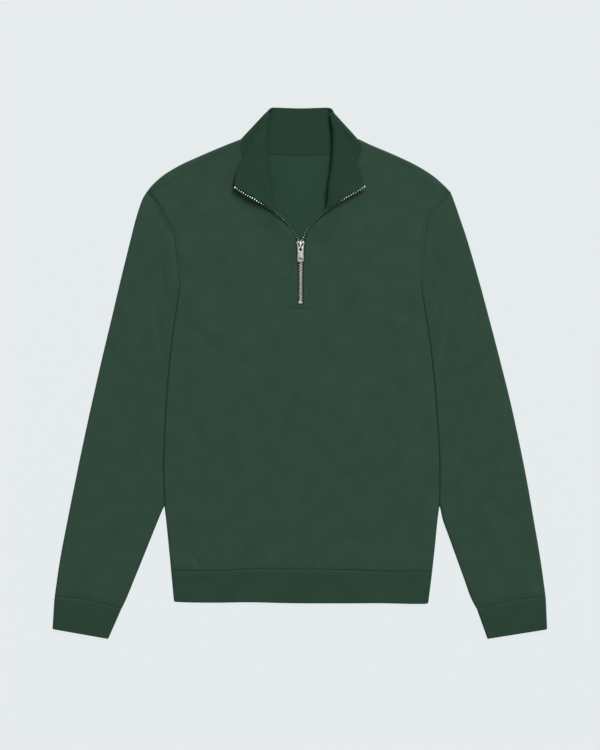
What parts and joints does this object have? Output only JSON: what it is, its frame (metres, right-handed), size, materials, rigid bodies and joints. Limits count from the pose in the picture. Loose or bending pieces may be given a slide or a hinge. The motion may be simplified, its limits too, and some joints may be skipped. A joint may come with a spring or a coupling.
{
  "type": "half-zip sweatshirt",
  "caption": "Long-sleeved sweatshirt with a stand collar, open at a short neck zip, ribbed cuffs and hem, laid flat front up.",
  "frame": {"origin": "centre of the laid garment's box, on the surface that it lies on", "axes": "+X to the viewer's right across the chest, +Y from the hem up to the collar, +Z out of the front, away from the surface"},
  "size_m": [0.7414, 0.7948, 0.0225],
  "materials": {
    "fleece": "dark green sweatshirt knit, smooth face, brushed inside, matte",
    "rib": "dark green one by one rib knit, matte",
    "zip_tape": "dark green woven tape, matte",
    "zip_metal": "nickel-coloured, satin"
  },
  "bodies": {
    "garment": {"front": "fleece", "back": "fleece", "sleeve_left": "fleece", "sleeve_right": "fleece", "cuff_left": "rib", "cuff_right": "rib", "hem_band": "rib", "collar": "rib", "zip_tape_left": "zip_tape", "zip_tape_right": "zip_tape", "zip_teeth_left": "zip_metal", "zip_teeth_right": "zip_metal", "zip_teeth_closed": "zip_metal", "zip_slider": "zip_metal"},
    "pull": {"pull_tab": "zip_metal"}
  },
  "joints": [
    {"name": "pull_tab_hinge", "type": "hinge", "parent": "garment", "child": "pull", "pos_m": [0, 0.1887, 0.0099], "axis": [-1, 0, 0], "range_deg": [0, 165]}
  ]
}
